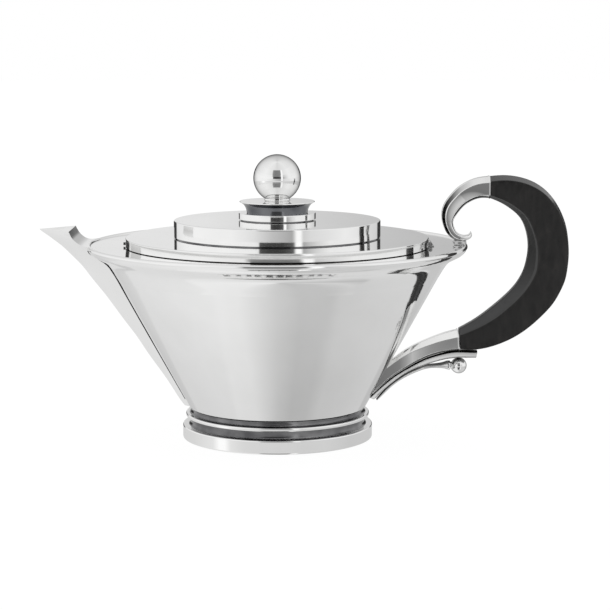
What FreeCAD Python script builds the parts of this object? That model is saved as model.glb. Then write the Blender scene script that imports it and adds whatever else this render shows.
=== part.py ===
import FreeCAD, Part
import math
import os

from FreeCAD import Vector as V

os.makedirs("parts", exist_ok=True)

# Silver teapot: straight conical pot on a stepped foot, stepped hinged lid with a ball knob,
# V-shaped spout and a scrolled handle with an ebony grip.
# Millimetres. Z up. Origin: centre of the foot's underside. Spout towards -X, handle towards +X.

# ---------------------------------------------------------------- driving dimensions
FOOT_R = 47.5            # foot band, outside
FOOT_IN_R = 41.5
LIFT = 1.2               # heights below are from a working zero; the foot's underside is this far under it
FOOT_Z0 = -LIFT
FOOT_TOP = 5.5
NECK_R = 43.6            # dark recess above the foot band
NECK_TOP = 9.7
COLLAR_R = 45.9          # thin ring above the recess
COLLAR_TOP = 11.4
GROOVE_R = 43.0          # dark groove between the thin ring and the pot
BODY_Z0 = 14.7           # bottom edge of the cone
CONE_R0 = 36.36          # cone: R = CONE_R0 + CONE_K * z
CONE_K = 0.5475
CONE_TOP = 80.0          # the wall flares out to the rim above this height
WALL_T = 1.35            # wall, measured horizontally
FLOOR_T = 1.2
DECK_Z = 94.8            # shoulder plate, at the lid
DECK_T = 1.1
RIM_R = 94.4
RIM_TOP = 96.2
RIM_IN_R = 92.3
MOUTH_R = 66.0           # hole in the shoulder plate
SEAT_T = 1.0
LID_GAP = 0.35           # lid over shoulder plate
T2_R, T2_TOP = 75.25, 99.3
T1_R, T1_TOP = 51.3, 107.8
SHEET = 1.1
BEZEL_R = 64.6
BEZEL_BOTTOM = 89.5
KNOB_COLLAR_R, KNOB_COLLAR_TOP = 19.15, 111.4
KNOB_DISC_R, KNOB_DISC_Z = 18.7, 117.1
KNOB_NECK_R = 6.2
BALL_R, BALL_Z = 11.8, 128.4
STUD_R = 2.0
HINGE_X, HINGE_Z = 75.7, 95.95
HINGE_HALF = 5.5         # half length of the hinge barrel
LID_KNUCKLE_HALF = 2.0
KNUCKLE_R = 1.15
PIN_R = 0.5
PIN_CLEAR = 0.05
SPOUT_T = 1.15
STRAINER_HOLE_R = 1.5


# ---------------------------------------------------------------- helpers
def spline(pts):
    c = Part.BSplineCurve()
    c.interpolate(pts)
    return c.toShape()


def profile_wire(items, plane):
    """items: points, or ("s", [points]) for a smooth run from the last point through the given ones."""
    pts = []
    edges = []
    last = None
    first = None
    for it in items:
        if it[0] == "s":
            run = [last] + [plane(*p) for p in it[1]]
            edges.append(spline(run))
            last = run[-1]
        else:
            p = plane(*it)
            if last is not None and (p - last).Length > 1e-7:
                edges.append(Part.makeLine(last, p))
            if first is None:
                first = p
            last = p
    if (last - first).Length > 1e-7:
        edges.append(Part.makeLine(last, first))
    return Part.Wire(edges)


def rz(r, z):
    return V(r, 0, z)


def revolve(items):
    face = Part.Face(profile_wire(items, rz))
    return face.revolve(V(0, 0, 0), V(0, 0, 1), 360)


def extrude_xz(items, y0, y1):
    face = Part.Face(profile_wire(items, lambda x, z: V(x, y0, z)))
    return face.extrude(V(0, y1 - y0, 0))


def cyl(r, z0, z1):
    return Part.makeCylinder(r, z1 - z0, V(0, 0, z0))


def ycyl(r, y0, y1, x, z):
    return Part.makeCylinder(r, y1 - y0, V(x, y0, z), V(0, 1, 0))


def box(x0, x1, y0, y1, z0, z1):
    return Part.makeBox(x1 - x0, y1 - y0, z1 - z0, V(x0, y0, z0))


def one(shape):
    """The largest solid of a boolean's result."""
    sol = sorted(shape.Solids, key=lambda s: -s.Volume)
    return sol[0]


def smooth(pts, n):
    """n points evenly spaced along a smooth curve through pts (x, z)."""
    c = Part.BSplineCurve()
    c.interpolate([V(x, 0, z) for x, z in pts])
    return [(p.x, p.z) for p in c.discretize(Number=n)]


def ramp(table, s):
    """Straight-line lookup of (s, value) pairs."""
    for (a, va), (b, vb) in zip(table, table[1:]):
        if s <= b:
            t = 0 if b == a else (s - a) / (b - a)
            return va + (vb - va) * t
    return table[-1][1]


def bevelled(outer, inner, hy, b_out, b_in, y_out, y_in, n):
    """A bar that follows two edge lines in the XZ plane: flat sides at +-hy, a bevel to each edge.
    b_*: bevel width in the plane; y_*: half thickness left at the edge, as a share of hy."""
    o, i = smooth(outer, n), smooth(inner, n)
    wires = []
    for k in range(n):
        s = k / (n - 1)
        O, I = V(o[k][0], 0, o[k][1]), V(i[k][0], 0, i[k][1])
        d = I - O
        w = d.Length
        d = d * (1 / w)
        h = ramp(hy, s)
        bo = min(ramp(b_out, s), 0.42 * w)
        bi = min(ramp(b_in, s), 0.42 * w)
        ho, hi = h * ramp(y_out, s), h * ramp(y_in, s)
        ring = [
            O + V(0, -ho, 0), O + d * bo + V(0, -h, 0), I - d * bi + V(0, -h, 0), I + V(0, -hi, 0),
            I + V(0, hi, 0), I - d * bi + V(0, h, 0), O + d * bo + V(0, h, 0), O + V(0, ho, 0),
        ]
        wires.append(Part.makePolygon(ring + [ring[0]]))
    s = Part.makeLoft(wires, True, False)
    if s.Volume < 0:
        s.reverse()
    return s


parts = {}

# ---------------------------------------------------------------- foot
parts["foot_band"] = revolve([
    (FOOT_IN_R, FOOT_Z0), (FOOT_R - 0.5, FOOT_Z0),
    ("s", [(FOOT_R - 0.13, FOOT_Z0 + 0.2), (FOOT_R, FOOT_Z0 + 0.65)]),
    (FOOT_R, FOOT_TOP - 0.6),
    ("s", [(FOOT_R - 0.16, FOOT_TOP - 0.15), (FOOT_R - 0.6, FOOT_TOP)]),
    (FOOT_IN_R, FOOT_TOP),
])
parts["foot_neck"] = revolve([
    (FOOT_IN_R - 0.5, FOOT_TOP), (NECK_R + 0.9, FOOT_TOP),
    ("s", [(NECK_R + 0.2, FOOT_TOP + 0.7), (NECK_R, FOOT_TOP + 1.7), (NECK_R, NECK_TOP)]),
    (FOOT_IN_R - 0.5, NECK_TOP),
])
parts["foot_collar"] = revolve([
    (FOOT_IN_R - 0.5, NECK_TOP), (COLLAR_R - 0.4, NECK_TOP),
    ("s", [(COLLAR_R - 0.1, NECK_TOP + 0.12), (COLLAR_R, NECK_TOP + 0.45)]),
    (COLLAR_R, COLLAR_TOP - 0.5),
    ("s", [(COLLAR_R - 0.2, COLLAR_TOP - 0.12), (COLLAR_R - 0.6, COLLAR_TOP)]),
    (FOOT_IN_R - 0.5, COLLAR_TOP),
])
parts["foot_groove"] = revolve([
    (FOOT_IN_R - 0.5, COLLAR_TOP), (GROOVE_R + 1.2, COLLAR_TOP),
    ("s", [(GROOVE_R + 0.3, COLLAR_TOP + 0.6), (GROOVE_R, COLLAR_TOP + 1.5), (GROOVE_R + 0.2, COLLAR_TOP + 2.5), (GROOVE_R + 0.9, BODY_Z0)]),
    (FOOT_IN_R - 0.5, BODY_Z0),
])

# ---------------------------------------------------------------- pot
r_bottom = CONE_R0 + CONE_K * BODY_Z0
r_top = CONE_R0 + CONE_K * CONE_TOP
floor_r = r_bottom - WALL_T
parts["body_floor"] = revolve([
    (0, BODY_Z0), (floor_r, BODY_Z0), (floor_r + CONE_K * FLOOR_T, BODY_Z0 + FLOOR_T), (0, BODY_Z0 + FLOOR_T),
])
FLARE_OUT = [(81.9, 82.9), (84.3, 86.6), (86.3, 88.6), (89.9, 90.6), (93.0, 92.5), (94.0, 94.2)]
FLARE_IN = [(91.3, 93.2), (88.4, 91.7), (84.9, 89.6), (82.9, 87.0), (80.5, 83.1)]
shell = revolve([
    (floor_r, BODY_Z0), (r_bottom, BODY_Z0), (r_top, CONE_TOP),
    ("s", FLARE_OUT),
    (RIM_IN_R, 94.2),
    ("s", FLARE_IN + [(r_top - WALL_T, CONE_TOP)]),
])
parts["rim_wire"] = revolve([
    (RIM_IN_R, 94.2), (94.0, 94.2),
    ("s", [(RIM_R - 0.05, 94.6), (RIM_R, 95.15), (94.15, 95.85), (93.5, RIM_TOP), (92.85, 96.1), (92.5, 95.7)]),
    (RIM_IN_R, 95.4),
])
parts["shoulder_plate"] = revolve([
    (MOUTH_R, DECK_Z - DECK_T), (78.5, DECK_Z - DECK_T),
    ("s", [(84.0, 93.85), (88.5, 94.05), (RIM_IN_R, 94.3)]),
    (RIM_IN_R, 95.4),
    ("s", [(88.5, 95.15), (84.0, 94.95), (78.5, DECK_Z)]),
    (MOUTH_R, DECK_Z),
])
parts["lid_seat"] = revolve([
    (MOUTH_R - SEAT_T, 87.0), (MOUTH_R, 87.0), (MOUTH_R, DECK_Z), (MOUTH_R - SEAT_T, DECK_Z),
])

# outer form of the pot, used to trim whatever is soldered to its wall
envelope = revolve([
    (0, BODY_Z0 - 3), (r_bottom, BODY_Z0 - 3), (r_bottom, BODY_Z0), (r_top, CONE_TOP),
    ("s", FLARE_OUT),
    ("s", [(RIM_R - 0.05, 94.6), (RIM_R, 95.15), (94.15, 95.85), (93.5, RIM_TOP)]),
    (0, RIM_TOP),
])

# ---------------------------------------------------------------- spout
KEEL = [(-118.4, 103.15), (-117.6, 102.3), (-112.0, 98.3), (-106.8, 94.3), (-98.75, 86.3), (-87.65, 72.3),
        (-75.8, 56.3), (-66.1, 42.3), (-56.5, 28.3), (-50.4, 19.3), (-46.9, 14.0)]
SPOUT_TOP = 103.15
SADDLE = [(-101.9, 103.15), (-101.1, 101.5), (-100.0, 99.7), (-98.5, 98.2), (-96.8, 97.05), (-95.3, 96.45),
          (-93.6, 96.2)]


def keel_x(z):
    pts = KEEL
    for (xa, za), (xb, zb) in zip(pts, pts[1:]):
        if zb <= z <= za:
            t = (z - za) / (zb - za)
            return xa + (xb - xa) * t
    return pts[-1][0] if z < pts[-1][1] else pts[0][0]


def side_slope(z):
    return ramp([(0, 1.19), (94, 1.19), (98.2, 1.17), (SPOUT_TOP, 0.945)], z)


def spout_outline(z, t):
    """Half outline in plan at height z, moved inwards by t: nose, straight side, on into the pot."""
    kx = keel_x(z)
    m = side_slope(z)
    x0 = kx + t * math.sqrt(1 + m * m) / m
    nose = 0.55 if t == 0 else 0.3
    reach = 26.0 + 0.18 * max(z - 20.0, 0.0)
    return x0, [(x0 + nose, m * nose), (x0 + reach, m * reach)]


def spout_section(z, t):
    x0, half = spout_outline(z, t)
    up = [V(x, y, z) for x, y in half]
    dn = [V(x, -y, z) for x, y in half]
    back = -20.0
    nose = Part.Arc(dn[0], V(x0 + (0.22 if t == 0 else 0.12), 0, z), up[0]).toShape()
    e = [nose, Part.makeLine(up[0], up[-1]), Part.makeLine(up[-1], V(back, up[-1].y, z)), Part.makeLine(V(back, up[-1].y, z), V(back, dn[-1].y, z)),
         Part.makeLine(V(back, dn[-1].y, z), dn[-1]), Part.makeLine(dn[-1], dn[0])]
    return Part.Wire(e)


ZS = [14.0, 24.0, 34.0, 44.0, 54.0, 64.0, 73.0, 80.0, 86.0, 90.0, 93.0, 96.0, 98.5, 101.0, SPOUT_TOP]
outer_wedge = Part.makeLoft([spout_section(z, 0) for z in ZS], True, False)
inner_wedge = Part.makeLoft([spout_section(z, SPOUT_T) for z in [30.0, 40.0, 50.0, 60.0, 70.0, 78.0, 84.0, 88.0, 92.0, 96.0, 98.5, 101.0, SPOUT_TOP + 0.01]], True, False)

above_saddle = extrude_xz(
    [(SADDLE[0][0], SADDLE[0][1] + 3), SADDLE[0], ("s", SADDLE[1:]), (-20, 96.2), (-20, 110), (SADDLE[0][0], 110)], -80, 80)
SAD_IN = [(x - 0.75, z - 0.9) for x, z in SADDLE]
MOUTH_BACK_X = -106.0
under_bridge = extrude_xz(
    [(-140, 10), (-140, 120), (MOUTH_BACK_X, 120), (MOUTH_BACK_X, SPOUT_TOP - 1.05), (SAD_IN[0][0], SPOUT_TOP - 1.05),
     ("s", SAD_IN[1:]), (-20, 95.35), (-20, 10)], -80, 80)

wedge = outer_wedge.cut(above_saddle)
wedge = wedge.cut(envelope).cut(cyl(93.6, RIM_TOP - 0.5, 120))
wedge = one(wedge)
cavity = inner_wedge.common(under_bridge)
spout_all = one(wedge.cut(cavity))
bridge = one(spout_all.common(inner_wedge))
spout = one(spout_all.cut(inner_wedge))
parts["spout_shell"] = spout
parts["spout_bridge"] = bridge

# the wall is open behind the spout, and a pierced strainer closes the window from inside
WIN_Z0, WIN_Z1 = 47.0, 84.0
window = inner_wedge.common(box(-140, -30, -40, 40, WIN_Z0, WIN_Z1))
parts["body_shell"] = one(shell.cut(window))

ri = lambda z: CONE_R0 - WALL_T + CONE_K * z
z0, z1 = WIN_Z0 - 3, WIN_Z1 + 2.0
band = revolve([(ri(z0), z0), (ri(z1), z1), (ri(z1) - 0.9, z1), (ri(z0) - 0.9, z0)])
half_ang = 20.0
sector = Part.makeCylinder(120, 120, V(0, 0, 0), V(0, 0, 1), 2 * half_ang)
sector.rotate(V(0, 0, 0), V(0, 0, 1), 180 - half_ang)
strainer = one(band.common(sector))
drills = []
slope = math.atan(CONE_K)
for row in range(8):
    z = 51.5 + row * 4.3
    r = ri(z)
    reach = ramp([(0, 3.0), (51.5, 5.0), (84.0, 15.0), (120, 15.0)], z)
    step = 4.3
    n = int(reach / step)
    for k in range(-n, n + 1):
        a = (k + (0.5 if row % 2 and n > 0 else 0.0)) * step / r
        if abs(a * r) > reach:
            continue
        d = V(-math.cos(a) * math.cos(slope), math.sin(a) * math.cos(slope), -math.sin(slope))
        p = V(-r * math.cos(a), r * math.sin(a), z)
        drills.append(Part.makeCylinder(STRAINER_HOLE_R, 6.0, p - d * 3.5, d))
parts["strainer"] = one(strainer.cut(Part.makeCompound(drills)))

# ---------------------------------------------------------------- lid
flange = revolve([
    (T2_R - 1.2, DECK_Z + LID_GAP), (T2_R, DECK_Z + LID_GAP), (T2_R, T2_TOP - 0.55),
    ("s", [(T2_R - 0.16, T2_TOP - 0.14), (T2_R - 0.55, T2_TOP)]),
    (49.5, T2_TOP), (49.5, T2_TOP - SHEET), (T2_R - 1.2, T2_TOP - SHEET),
])
bezel = revolve([
    (BEZEL_R - 1.0, BEZEL_BOTTOM), (BEZEL_R, BEZEL_BOTTOM), (BEZEL_R, DECK_Z + LID_GAP),
    (T2_R - 1.2, DECK_Z + LID_GAP), (T2_R - 1.2, DECK_Z + LID_GAP + 0.9), (BEZEL_R - 1.0, DECK_Z + LID_GAP + 0.9),
])
clear = ycyl(KNUCKLE_R + 0.3, LID_KNUCKLE_HALF, HINGE_HALF + 0.8, HINGE_X, HINGE_Z).fuse(
    ycyl(KNUCKLE_R + 0.3, -HINGE_HALF - 0.8, -LID_KNUCKLE_HALF, HINGE_X, HINGE_Z))
own = ycyl(KNUCKLE_R, -LID_KNUCKLE_HALF, LID_KNUCKLE_HALF, HINGE_X, HINGE_Z)
parts["lid_flange"] = one(flange.cut(clear).cut(own))
parts["lid_bezel"] = one(bezel.cut(clear).cut(own))
parts["lid_dome_step"] = revolve([
    (T1_R - 1.2, T2_TOP), (T1_R - 0.6, T2_TOP), (T1_R - 0.6, T2_TOP + 0.45), (T1_R, T2_TOP + 0.55), (T1_R, T1_TOP - 0.6),
    ("s", [(T1_R - 0.17, T1_TOP - 0.16), (T1_R - 0.6, T1_TOP)]),
    (STUD_R, T1_TOP), (STUD_R, T1_TOP - SHEET), (T1_R - 1.2, T1_TOP - SHEET),
])
parts["lid_catch_nib"] = one(box(-T2_R - 1.1, -T2_R + 0.3, -2.2, 2.2, DECK_Z + 0.45, DECK_Z + 1.85).cut(flange))

# knob, held by a stud and a nut under the lid
parts["knob_collar"] = revolve([
    (STUD_R, T1_TOP), (KNOB_COLLAR_R - 1.2, T1_TOP), (KNOB_COLLAR_R - 1.2, T1_TOP + 0.4), (KNOB_COLLAR_R - 0.2, T1_TOP + 0.45),
    ("s", [(KNOB_COLLAR_R - 0.05, T1_TOP + 0.5), (KNOB_COLLAR_R, T1_TOP + 0.65)]),
    (KNOB_COLLAR_R, KNOB_COLLAR_TOP - 0.4),
    ("s", [(KNOB_COLLAR_R - 0.12, KNOB_COLLAR_TOP - 0.1), (KNOB_COLLAR_R - 0.45, KNOB_COLLAR_TOP)]),
    (STUD_R, KNOB_COLLAR_TOP),
])
neck_z = BALL_Z - math.sqrt(BALL_R ** 2 - KNOB_NECK_R ** 2)
parts["knob_flare"] = revolve([
    (STUD_R, KNOB_COLLAR_TOP), (15.1, KNOB_COLLAR_TOP),
    ("s", [(15.35, 112.6), (15.85, 114.0), (16.75, 115.35), (17.9, 116.25), (KNOB_DISC_R - 0.15, 116.6)]),
    ("s", [(KNOB_DISC_R, 116.85), (KNOB_DISC_R - 0.15, KNOB_DISC_Z)]),
    (KNOB_NECK_R + 0.9, KNOB_DISC_Z + 0.15),
    ("s", [(KNOB_NECK_R + 0.15, KNOB_DISC_Z + 0.6), (KNOB_NECK_R, neck_z)]),
    (STUD_R, neck_z),
])
ball = Part.makeSphere(BALL_R, V(0, 0, BALL_Z)).cut(cyl(30, 100, neck_z)).cut(cyl(STUD_R, 100, 126.0))
parts["knob_ball"] = one(ball)
parts["knob_stud"] = cyl(STUD_R, 101.5, 126.0)
parts["knob_washer"] = cyl(5.0, 105.9, T1_TOP - SHEET).cut(cyl(STUD_R, 100, 110))
hexa = [V(4.04 * math.cos(math.radians(60 * k)), 4.04 * math.sin(math.radians(60 * k)), 102.7) for k in range(6)]
nut = Part.Face(Part.makePolygon(hexa + [hexa[0]])).extrude(V(0, 0, 3.2))
parts["knob_nut"] = nut.cut(cyl(STUD_R, 100, 110))

# ---------------------------------------------------------------- hinge
leaf = box(HINGE_X, 77.6, -HINGE_HALF, HINGE_HALF, DECK_Z, DECK_Z + 0.5)
leaf = leaf.fuse([ycyl(KNUCKLE_R, LID_KNUCKLE_HALF + 0.1, HINGE_HALF, HINGE_X, HINGE_Z),
                  ycyl(KNUCKLE_R, -HINGE_HALF, -LID_KNUCKLE_HALF - 0.1, HINGE_X, HINGE_Z)])
leaf = leaf.cut(box(HINGE_X - 3, HINGE_X + 1.6, -LID_KNUCKLE_HALF - 0.1, LID_KNUCKLE_HALF + 0.1, 90, 100))
leaf = leaf.cut(parts["shoulder_plate"]).cut(ycyl(PIN_R, -12, 12, HINGE_X, HINGE_Z))
parts["hinge_pot_leaf"] = one(leaf)
parts["hinge_lid_knuckle"] = own.cut(ycyl(PIN_R + PIN_CLEAR, -12, 12, HINGE_X, HINGE_Z))
parts["hinge_pin"] = ycyl(PIN_R, -HINGE_HALF - 0.2, HINGE_HALF + 0.2, HINGE_X, HINGE_Z)

# ---------------------------------------------------------------- handle
SCROLL_OUT = [(104.6, 129.35), (98.9, 128.5), (93.2, 126.2), (89.4, 123.65), (86.15, 120.3), (83.2, 116.3), (81.7, 112.3),
              (81.6, 108.3), (82.6, 104.3), (84.6, 100.5), (87.6, 97.9), (91.3, 96.9), (94.6, 97.6), (96.6, 99.2), (96.75, 100.9)]
SCROLL_IN = [(104.6, 118.7), (100.0, 118.6), (95.6, 116.9), (92.3, 114.5), (89.75, 111.5), (88.0, 108.7), (87.35, 106.9),
             (87.6, 105.0), (88.2, 103.4), (89.1, 101.9), (90.3, 100.8), (92.0, 100.1), (93.9, 100.1), (95.3, 100.8), (96.1, 102.1)]
scroll = bevelled(SCROLL_OUT, SCROLL_IN,
                  [(0, 5.6), (0.3, 5.0), (0.6, 3.9), (0.85, 2.9), (1, 1.5)],
                  [(0, 2.9), (0.5, 2.1), (0.8, 1.4), (1, 0.3)], [(0, 1.6), (0.5, 1.4), (1, 0.3)],
                  [(0, 0.55), (1, 0.5)], [(0, 0.72), (1, 0.6)], 30)

foot = extrude_xz([(87.2, 95.0), (94.3, 95.0), (94.3, 96.4), ("s", [(93.9, 97.4), (94.4, 98.0)]), (88.0, 98.4),
                   ("s", [(87.9, 97.2), (87.2, 96.2)])], -3.6, 3.6)
foot = foot.cut(scroll).cut(envelope).cut(parts["shoulder_plate"])
foot = foot.cut(box(80, 100, -10, 10, 98.0, 120))
parts["handle_scroll"] = one(scroll)
# the saddle block stands on the rim and the shoulder plate
pad = box(86.9, 94.2, -3.6, 3.6, 94.7, 97.7)
pad = pad.common(extrude_xz([(86.9, 94.7), (94.2, 94.7), (94.2, 96.3), ("s", [(93.7, 97.0), (94.0, 97.7)]), (88.1, 97.7),
                             ("s", [(88.0, 96.9), (86.9, 96.1)])], -4, 4))
pad = pad.cut(scroll).cut(parts["shoulder_plate"]).cut(parts["rim_wire"])
parts["handle_saddle"] = one(pad)

GRIP_OUT = [(105.2, 129.4), (112.2, 129.85), (120.2, 128.9), (128.2, 125.9), (134.15, 121.4), (138.35, 116.1), (141.5, 110.2),
            (143.5, 104.3), (144.55, 98.3), (145.0, 91.3), (144.5, 84.3), (143.45, 78.4), (141.1, 72.5), (137.8, 66.6),
            (132.8, 60.7), (126.4, 54.7), (117.6, 48.6), (107.9, 44.45), (99.4, 42.6), (91.45, 42.7)]
GRIP_IN = [(105.2, 118.7), (111.0, 116.2), (116.9, 112.3), (120.9, 108.3), (123.6, 102.3), (124.8, 94.3), (124.2, 88.3),
           (122.6, 82.3), (119.3, 76.2), (113.8, 70.0), (106.7, 63.8), (98.2, 57.5), (90.65, 53.2)]
GRIP_HY = [(0, 5.5), (0.25, 6.8), (0.5, 7.4), (0.75, 6.8), (1, 5.5)]
grip = bevelled(GRIP_OUT, GRIP_IN, GRIP_HY,
                [(0, 2.9), (0.5, 2.6), (1, 2.2)], [(0, 1.6), (0.3, 3.2), (0.5, 5.6), (0.8, 5.2), (1, 3.2)],
                [(0, 0.55), (1, 0.6)], [(0, 0.7), (0.5, 0.45), (1, 0.55)], 30)

ARM_OUT = [(90.2, 42.65), (82.7, 41.5), (73.1, 38.4), (65.8, 34.5), (58.8, 30.1), (51.5, 24.0), (47.0, 20.0)]
ARM_IN = [(89.6, 52.6), (84.1, 51.2), (77.1, 48.7), (69.1, 45.2), (63.0, 41.7), (57.4, 37.5), (52.0, 33.2)]
arm = bevelled(ARM_OUT, ARM_IN, [(0, 5.5), (0.5, 4.6), (1, 3.8)],
               [(0, 1.2), (1, 1.0)], [(0, 3.4), (1, 2.6)], [(0, 0.75), (1, 0.75)], [(0, 0.5), (1, 0.5)], 22)

LEAF_TOP = [(99.9, 42.3), (95.5, 42.35), (91.1, 42.45), (82.9, 41.3), (73.1, 38.1), (65.8, 34.2), (58.8, 29.8), (51.5, 23.7), (46.0, 18.5)]
LEAF_BOT = [(99.2, 38.7), (95.0, 38.75), (91.1, 38.75), (84.7, 38.1), (77.3, 36.2), (71.0, 34.0), (65.6, 31.6), (60.0, 27.9), (54.4, 23.3), (48.5, 17.5)]
leaf_bar = bevelled(LEAF_TOP, LEAF_BOT, [(0, 5.2), (0.5, 4.6), (1, 3.8)],
                    [(0, 0.9), (1, 0.8)], [(0, 0.7), (1, 0.7)], [(0, 0.8), (1, 0.8)], [(0, 0.85), (1, 0.85)], 22)

STEM_TOP = [(85.2, 36.9), (83.0, 36.15), (80.4, 35.6), (77.3, 35.25), (73.5, 34.6), (69.5, 33.0), (65.6, 31.3), (60.0, 27.6), (54.4, 23.0), (49.5, 17.3)]
STEM_BOT = [(85.4, 32.3), (83.3, 32.8), (80.5, 33.0), (77.6, 33.0), (73.6, 32.3), (69.6, 30.85), (65.6, 29.05), (61.6, 26.75), (57.6, 23.8), (53.6, 20.0), (50.2, 16.7)]
stem = bevelled(STEM_TOP, STEM_BOT, [(0, 2.3), (0.15, 1.5), (0.3, 1.3), (0.5, 1.8), (1, 2.4)],
                [(0, 1.3), (0.3, 0.7), (1, 0.8)], [(0, 1.3), (0.3, 0.7), (1, 0.8)], [(0, 0.45), (1, 0.5)], [(0, 0.45), (1, 0.5)], 20)

trim = envelope
arm = one(arm.cut(trim))
leaf_bar = one(leaf_bar.cut(trim).cut(arm).cut(grip))
stem = one(stem.cut(trim).cut(leaf_bar).cut(arm))
bead = Part.makeSphere(2.45, V(85.9, 0, 34.4))
bead = bead.common(box(85.3, 86.5, -5, 5, 25, 45))
bead2 = Part.makeSphere(1.9, V(87.0, 0, 34.4)).common(box(86.5, 88, -5, 5, 25, 45))
DROP_R = 4.0
drop = Part.makeSphere(DROP_R, V(90.9, 0, 34.3))
drop = one(drop.cut(leaf_bar))
stem = one(stem.cut(bead).cut(box(85.3, 95, -5, 5, 25, 38)))
beads = bead.fuse(bead2).cut(drop).cut(leaf_bar)
parts["drop_collar"] = one(beads)
parts["drop_ball"] = drop
parts["drop_stem"] = stem
parts["lower_leaf"] = leaf_bar

# thin silver ferrules at both ends of the grip, a hair proud of the bars
def ferrule(o, i, h, b_o, b_i, y_o, y_i, thick, normal):
    O, I = V(o[0], 0, o[1]), V(i[0], 0, i[1])
    d = I - O
    w = d.Length
    d = d * (1 / w)
    g = 0.12
    O, I = O - d * g, I + d * g
    h += g
    ring = [O + V(0, -h * y_o, 0), O + d * b_o + V(0, -h, 0), I - d * b_i + V(0, -h, 0), I + V(0, -h * y_i, 0),
            I + V(0, h * y_i, 0), I - d * b_i + V(0, h, 0), O + d * b_o + V(0, h, 0), O + V(0, h * y_o, 0)]
    return Part.Face(Part.makePolygon(ring + [ring[0]])).extrude(V(normal[0], 0, normal[1]) * thick)


parts["upper_ferrule"] = ferrule((104.6, 129.37), (104.6, 118.7), 5.6, 2.9, 1.6, 0.55, 0.72, 0.6, (1, 0))
nl = V(90.2 - 89.6, 0, 42.65 - 52.6)
nl = nl * (1 / nl.Length)
lower_n = (-nl.z, nl.x)
parts["lower_ferrule"] = ferrule((90.2, 42.65), (89.6, 52.6), 5.5, 1.2, 3.4, 0.75, 0.5, 0.6, lower_n)
for f in ("upper_ferrule", "lower_ferrule"):
    parts[f] = one(parts[f].cut(leaf_bar).cut(scroll).cut(arm))
grip = one(grip.cut(parts["upper_ferrule"]).cut(parts["lower_ferrule"]).cut(leaf_bar))

# tangs: tapered pegs inside both joints, cemented into the grip
up_tang = Part.makeCone(3.0, 2.2, 22.0, V(96.0, 0, 123.6), V(1, 0, 0.02))
lo_tang = Part.makeCone(3.0, 2.2, 22.0, V(82.5, 0, 46.0), V(0.985, 0, 0.17))
parts["upper_tang"] = up_tang
parts["lower_tang"] = lo_tang
parts["handle_scroll"] = one(parts["handle_scroll"].cut(up_tang))
parts["upper_ferrule"] = one(parts["upper_ferrule"].cut(up_tang))
parts["lower_ferrule"] = one(parts["lower_ferrule"].cut(lo_tang))
parts["lower_arm"] = one(arm.cut(lo_tang))
parts["grip"] = one(grip.cut(up_tang).cut(lo_tang))

# ---------------------------------------------------------------- write
for f in os.listdir("parts"):
    if f.endswith(".step") and f[:-5] not in parts:
        os.remove(os.path.join("parts", f))
for name, shape in sorted(parts.items()):
    if shape.ShapeType != "Solid" and len(shape.Solids) == 1:
        shape = shape.Solids[0]
    shape = shape.copy()
    shape.translate(V(0, 0, LIFT))
    b = shape.BoundBox
    print("%-18s %-9s valid %-5s solids %d vol %9.1f  x %.2f..%.2f y %.2f..%.2f z %.2f..%.2f" % (
        name, shape.ShapeType, shape.isValid(), len(shape.Solids), shape.Volume, b.XMin, b.XMax, b.YMin, b.YMax, b.ZMin, b.ZMax))
    shape.exportStep("parts/%s.step" % name)
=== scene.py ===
import math

import bpy
import numpy as np
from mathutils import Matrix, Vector


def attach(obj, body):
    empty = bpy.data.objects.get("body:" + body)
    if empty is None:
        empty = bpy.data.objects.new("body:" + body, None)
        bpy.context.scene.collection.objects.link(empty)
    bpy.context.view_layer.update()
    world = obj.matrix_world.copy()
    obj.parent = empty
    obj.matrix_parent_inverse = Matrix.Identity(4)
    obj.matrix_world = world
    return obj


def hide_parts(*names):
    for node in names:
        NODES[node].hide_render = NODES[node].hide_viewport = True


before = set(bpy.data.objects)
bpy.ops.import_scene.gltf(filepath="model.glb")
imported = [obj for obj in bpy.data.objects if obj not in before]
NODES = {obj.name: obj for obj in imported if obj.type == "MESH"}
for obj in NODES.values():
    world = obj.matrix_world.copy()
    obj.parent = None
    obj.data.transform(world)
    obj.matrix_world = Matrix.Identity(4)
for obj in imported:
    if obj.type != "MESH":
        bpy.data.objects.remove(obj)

# Silver teapot. Metres, same frame as the CAD: origin at the centre of the foot's underside,
# spout towards -X, handle towards +X, Z up. Profiles below are in millimetres.

MM = 0.001
LIFT = 1.2          # profile heights below are from a working zero 1.2 mm above the foot's underside
bpy.context.view_layer.update()


# ------------------------------------------------------------------ mesh helpers
def spline_run(pts, per=6):
    """Natural cubic spline through 2-D points, chord-length parameter, per samples a span (first point left out)."""
    P = np.array(pts, float)
    n = len(P)
    if n == 2:
        return [tuple(P[1])]
    t = np.concatenate([[0], np.cumsum(np.hypot(*(P[1:] - P[:-1]).T))])
    h = np.diff(t)
    A = np.zeros((n, n))
    R = np.zeros((n, 2))
    A[0, 0] = A[-1, -1] = 1
    for i in range(1, n - 1):
        A[i, i - 1], A[i, i], A[i, i + 1] = h[i - 1], 2 * (h[i - 1] + h[i]), h[i]
        R[i] = 6 * ((P[i + 1] - P[i]) / h[i] - (P[i] - P[i - 1]) / h[i - 1])
    M = np.linalg.solve(A, R)
    out = []
    for i in range(n - 1):
        for k in range(1, per + 1):
            x = t[i] + h[i] * k / per
            a, b = (t[i + 1] - x) / h[i], (x - t[i]) / h[i]
            out.append(tuple(a * P[i] + b * P[i + 1] + ((a ** 3 - a) * M[i] + (b ** 3 - b) * M[i + 1]) * h[i] ** 2 / 6))
    return out


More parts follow.
